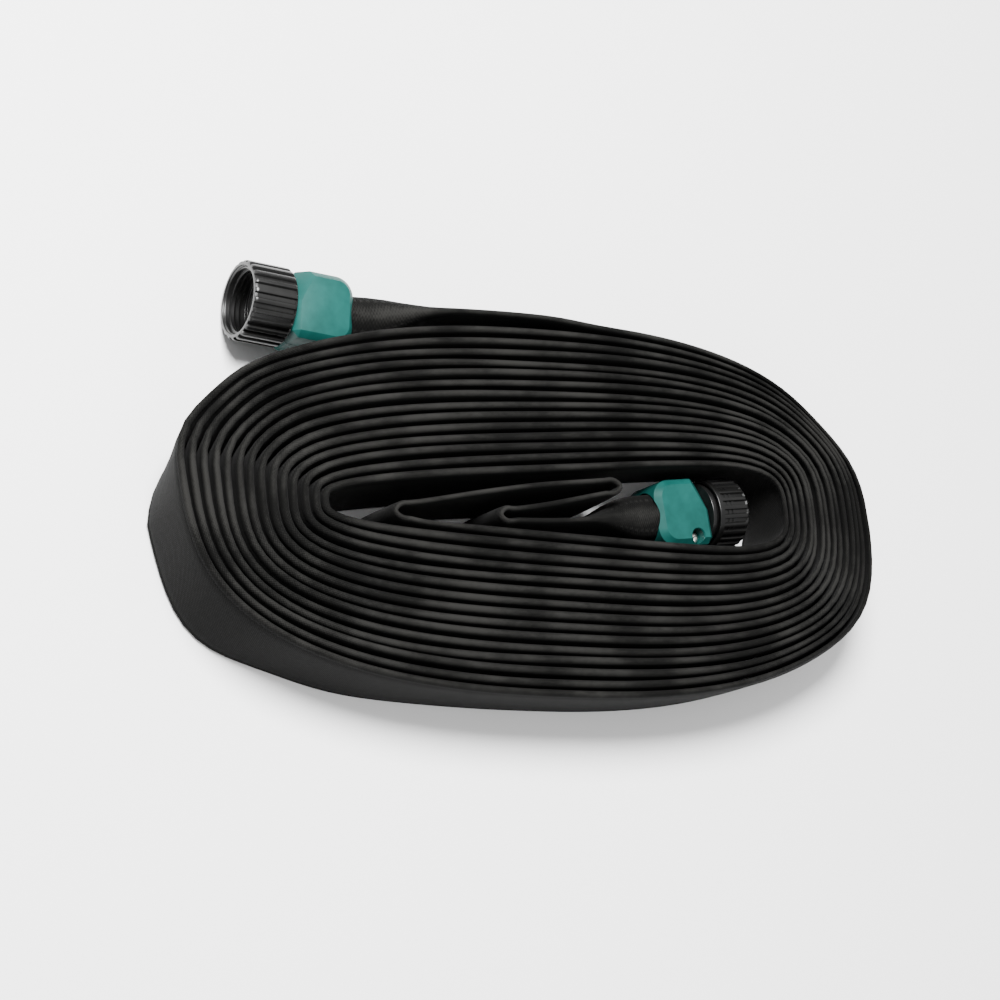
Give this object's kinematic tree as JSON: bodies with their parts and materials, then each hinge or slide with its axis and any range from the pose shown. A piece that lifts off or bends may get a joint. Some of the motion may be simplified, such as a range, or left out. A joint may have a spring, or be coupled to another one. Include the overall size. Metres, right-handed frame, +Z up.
{
  "type": "soaker hose",
  "caption": "Flat fabric-covered soaker hose wound on edge as an oval coil, with clamped plastic fittings: a ribbed swivel nut at the inlet and a ribbed screw cap at the outlet.",
  "frame": {"origin": "centre of the footprint, on the surface the coil stands on", "axes": "+Z up, +X along the coil's long axis towards the outlet cap, +Y towards the side the inlet fitting lies on"},
  "size_m": [0.3326, 0.187, 0.038],
  "materials": {
    "hose_fabric": "woven, matt",
    "liner_vinyl": "smooth, soft vinyl",
    "black_plastic": "moulded, semi-gloss",
    "teal_plastic": "moulded, satin",
    "stem_plastic": "moulded, satin",
    "washer_rubber": "matt",
    "screw_steel": "plated"
  },
  "bodies": {
    "hose_body": {"inlet_stem": "stem_plastic", "inlet_clamp_upper": "teal_plastic", "inlet_clamp_lower": "teal_plastic", "inlet_clamp_screw": "screw_steel", "inlet_liner_end": "liner_vinyl", "inlet_sleeve_end": "hose_fabric", "outlet_stem": "stem_plastic", "outlet_clamp_upper": "teal_plastic", "outlet_clamp_lower": "teal_plastic", "outlet_clamp_screw": "screw_steel", "outlet_liner_end": "liner_vinyl", "outlet_sleeve_end": "hose_fabric", "hose_coil": "hose_fabric", "hose_inlet_run": "hose_fabric", "hose_core_run": "hose_fabric"},
    "swivel": {"swivel_nut": "black_plastic", "inlet_washer": "washer_rubber", "flow_restrictor": "stem_plastic"},
    "cap_seal": {"cap_washer": "washer_rubber"},
    "cap": {"end_cap": "black_plastic"}
  },
  "joints": [
    {"name": "nut_spin", "type": "hinge", "parent": "hose_body", "child": "swivel", "pos_m": [-0.10588, 0.07419, 0.0169], "axis": [-0.989, 0.1478, 0], "continuous": true},
    {"name": "cap_travel", "type": "slide", "parent": "hose_body", "child": "cap_seal", "axis": [0.9984, 0.0558, 0], "range_m": [0, 0.00664]},
    {"name": "cap_turn", "type": "hinge", "parent": "cap_seal", "child": "cap", "pos_m": [0.08622, -0.01171, 0.0169], "axis": [0.9984, 0.0558, 0], "range_deg": [0, 1080]}
  ],
  "couplings": [
    {"joint": "cap_travel", "follows": "cap_turn", "m_per_rad": 0.00035152}
  ]
}
